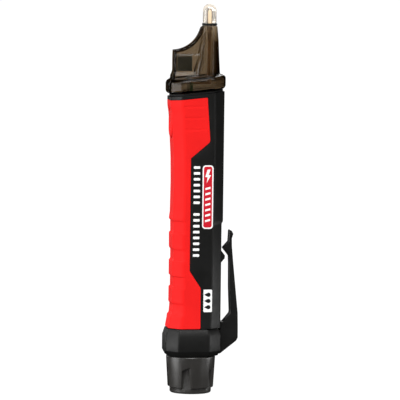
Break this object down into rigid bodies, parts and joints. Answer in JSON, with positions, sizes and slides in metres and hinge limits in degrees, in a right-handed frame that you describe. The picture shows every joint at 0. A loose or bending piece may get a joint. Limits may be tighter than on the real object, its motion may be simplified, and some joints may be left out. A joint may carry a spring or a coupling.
{
  "type": "non contact voltage tester",
  "caption": "Pen-shaped non contact voltage tester with a domed sensing tip, torch nose, soft grip, pocket clip and screw-on battery cap.",
  "frame": {"origin": "centre of the battery cap's flat end, on the cap's axis", "axes": "+Z along the tool to the sensing tip, -Y the front with the torch and thumb key, +Y the rear with the pocket clip, +X the printed side"},
  "size_m": [0.0224, 0.0333, 0.1748],
  "materials": {
    "black_plastic": "satin",
    "red_rubber": "satin",
    "grey_plastic": "satin",
    "smoked_plastic": "polished",
    "milky_plastic": "polished",
    "black_seal": "matte",
    "copper_strip": "satin",
    "white_plastic": "satin",
    "clear_lamp": "polished",
    "red_lamp": "polished",
    "green_board": "satin",
    "black_chip": "matte",
    "spring_steel": "satin",
    "cell_wrap": "glossy"
  },
  "bodies": {
    "housing": {"main_housing": "black_plastic", "grip_overmould": "red_rubber", "clip_collar": "black_plastic", "nose_housing": "smoked_plastic", "nose_gasket": "black_seal", "tip_seal_ring": "black_seal", "tip_dome": "milky_plastic", "sensor_strip": "copper_strip", "torch_holder": "white_plastic", "torch_led": "clear_lamp", "warning_led": "red_lamp", "circuit_board": "green_board", "controller_chip": "black_chip", "tactile_switch": "black_chip", "buzzer": "black_chip", "positive_contact": "spring_steel", "battery_tube": "white_plastic", "battery_lower": "cell_wrap", "battery_upper": "cell_wrap", "negative_strip": "spring_steel"},
    "contact_carrier": {"contact_cup": "spring_steel", "battery_spring": "spring_steel"},
    "cap": {"battery_cap": "grey_plastic", "cap_o_ring": "black_seal"},
    "clip": {"clip_arm": "black_plastic"},
    "thumb_key": {"power_button": "red_rubber", "switch_plunger": "white_plastic"}
  },
  "joints": [
    {"name": "cap_slide", "type": "slide", "parent": "housing", "child": "contact_carrier", "axis": [0, 0, -1], "range_m": [0, 0.0078]},
    {"name": "cap_turn", "type": "hinge", "parent": "contact_carrier", "child": "cap", "pos_m": [0, 0, 0], "axis": [0, 0, -1], "range_deg": [0, 1080]},
    {"name": "clip_flex", "type": "hinge", "parent": "housing", "child": "clip", "pos_m": [0, 0.0193, 0.0357], "axis": [-1, 0, 0], "range_deg": [0, 6], "stiffness_Nm_per_rad": 1},
    {"name": "button_press", "type": "slide", "parent": "housing", "child": "thumb_key", "axis": [0, 1, 0], "range_m": [0, 0.0005], "stiffness_N_per_m": 1500}
  ],
  "couplings": [
    {"joint": "cap_turn", "follows": "cap_slide", "rad_per_m": 2416.6}
  ]
}
